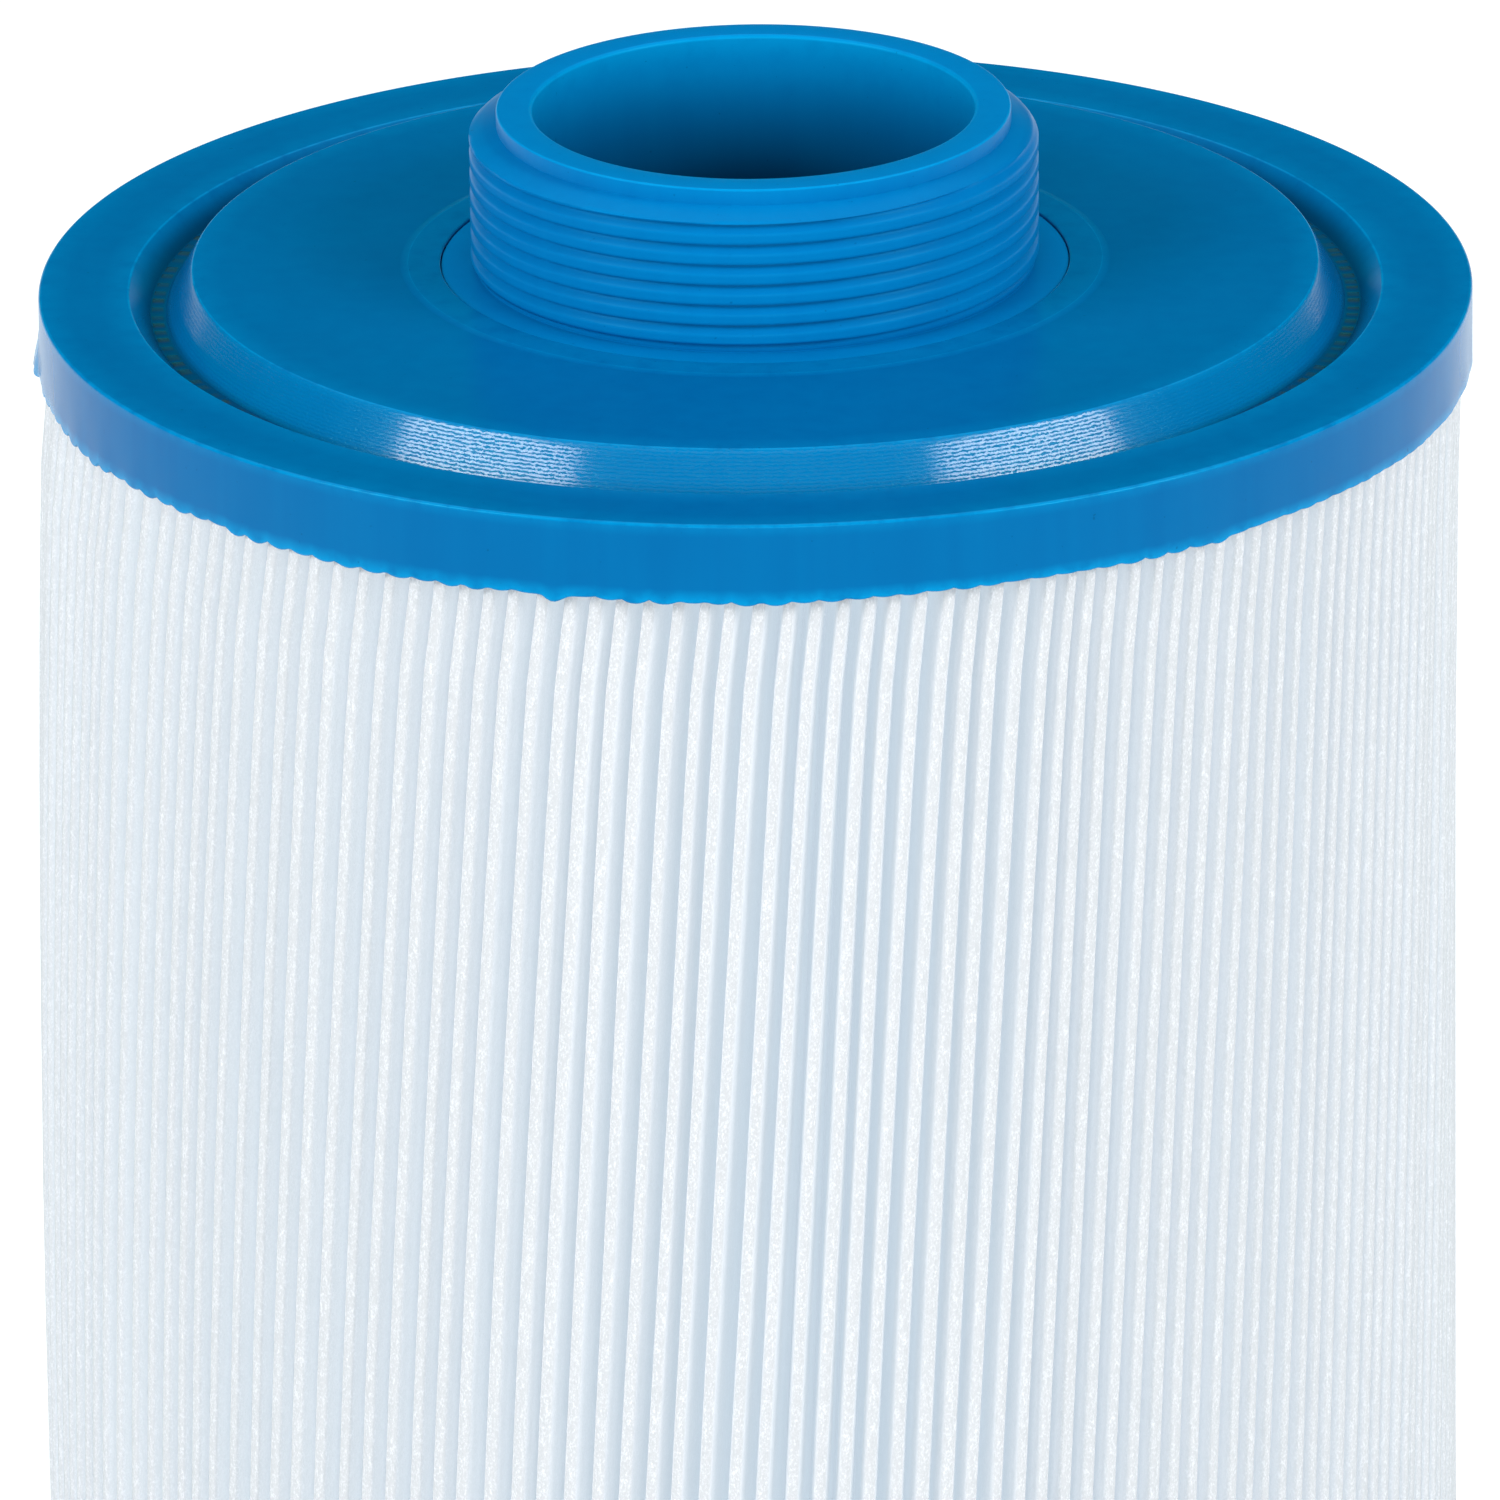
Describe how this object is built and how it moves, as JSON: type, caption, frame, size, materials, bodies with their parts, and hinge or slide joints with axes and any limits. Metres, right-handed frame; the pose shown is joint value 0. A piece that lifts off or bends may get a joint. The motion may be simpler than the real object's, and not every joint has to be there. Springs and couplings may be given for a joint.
{
  "type": "filter cartridge",
  "caption": "Pleated cylindrical filter cartridge with a cast cap at each end, a hollow threaded neck on the upper cap and a recessed grip in the closed cap.",
  "frame": {"origin": "centre of the closed cap's flat outer face, which the cartridge stands on", "axes": "+Z along the cartridge from the closed cap to the neck's mouth; +Y towards the sheet's seam"},
  "size_m": [0.1508, 0.1508, 0.235],
  "materials": {
    "cast_urethane": "satin cast urethane, slightly translucent",
    "moulded_blue": "smooth moulded plastic",
    "pleated_polyester": "spun-bonded polyester, calendered, fine fibres",
    "moulded_white": "moulded polypropylene"
  },
  "bodies": {
    "root": {"neck_end_cap": "cast_urethane", "threaded_neck": "moulded_blue", "pleated_sheet": "pleated_polyester", "seam_strip": "moulded_white", "core_section_1": "moulded_white", "core_section_2": "moulded_white", "core_section_3": "moulded_white", "core_section_4": "moulded_white", "grip_insert": "moulded_blue", "closed_end_cap": "cast_urethane"}
  },
  "joints": []
}
